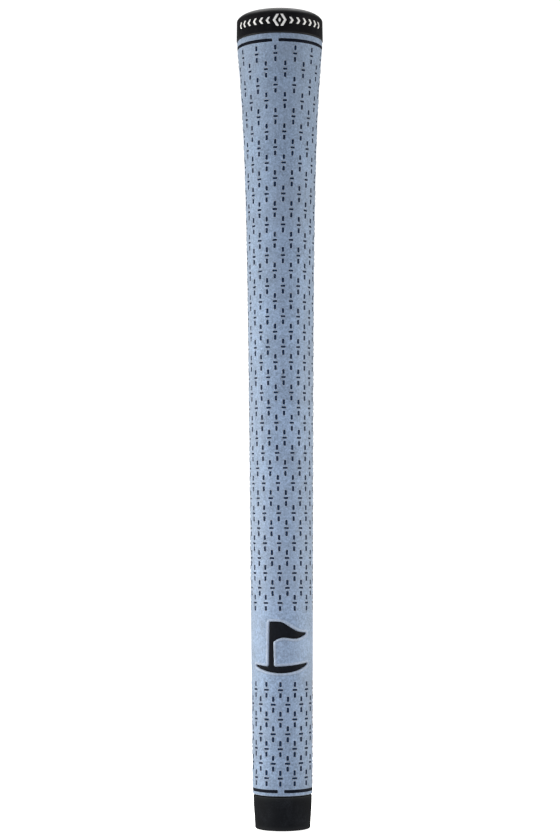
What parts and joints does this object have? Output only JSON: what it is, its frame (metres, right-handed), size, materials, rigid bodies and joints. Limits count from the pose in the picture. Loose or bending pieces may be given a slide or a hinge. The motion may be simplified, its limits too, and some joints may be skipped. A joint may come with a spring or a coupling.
{
  "type": "golf grip",
  "caption": "Slip-on golf club grip: a tapered rubber sleeve with a flared butt end, vented cap, tip collar, inlaid rings and emblem, and a blind shaft bore.",
  "frame": {"origin": "centre of the mouth's flat end face, at the narrow tip end where the shaft goes in", "axes": "+Z along the grip from the open mouth to the closed butt end; -Y is the front, which carries the emblem; +X is to the right seen from the front"},
  "size_m": [0.0286, 0.0286, 0.267],
  "materials": {
    "cover_rubber": "matt grey-blue moulded rubber with a fine grain",
    "core_rubber": "plain black rubber",
    "cap_rubber": "smooth satin black rubber",
    "collar_rubber": "matt black rubber",
    "dark_inlay": "dark paint filling",
    "white_inlay": "white paint filling"
  },
  "bodies": {
    "root": {"grip_cover": "cover_rubber", "inner_core": "core_rubber", "butt_cap": "cap_rubber", "tip_collar": "collar_rubber", "emblem_inlay": "dark_inlay", "lower_ring_inlay_left": "dark_inlay", "lower_ring_inlay_right": "dark_inlay", "upper_ring_inlay_left": "dark_inlay", "upper_ring_inlay_right": "dark_inlay", "cap_chevron_back_left_0": "white_inlay", "cap_chevron_back_left_1": "white_inlay", "cap_chevron_back_left_2": "white_inlay", "cap_chevron_back_left_3": "white_inlay", "cap_chevron_back_left_4": "white_inlay", "cap_chevron_back_left_5": "white_inlay", "cap_chevron_back_left_6": "white_inlay", "cap_chevron_back_right_0": "white_inlay", "cap_chevron_back_right_1": "white_inlay", "cap_chevron_back_right_2": "white_inlay", "cap_chevron_back_right_3": "white_inlay", "cap_chevron_back_right_4": "white_inlay", "cap_chevron_back_right_5": "white_inlay", "cap_chevron_back_right_6": "white_inlay", "cap_chevron_front_left_0": "white_inlay", "cap_chevron_front_left_1": "white_inlay", "cap_chevron_front_left_2": "white_inlay", "cap_chevron_front_left_3": "white_inlay", "cap_chevron_front_left_4": "white_inlay", "cap_chevron_front_left_5": "white_inlay", "cap_chevron_front_left_6": "white_inlay", "cap_chevron_front_right_0": "white_inlay", "cap_chevron_front_right_1": "white_inlay", "cap_chevron_front_right_2": "white_inlay", "cap_chevron_front_right_3": "white_inlay", "cap_chevron_front_right_4": "white_inlay", "cap_chevron_front_right_5": "white_inlay", "cap_chevron_front_right_6": "white_inlay", "cap_diamond_back": "white_inlay", "cap_diamond_front": "white_inlay"}
  },
  "joints": []
}
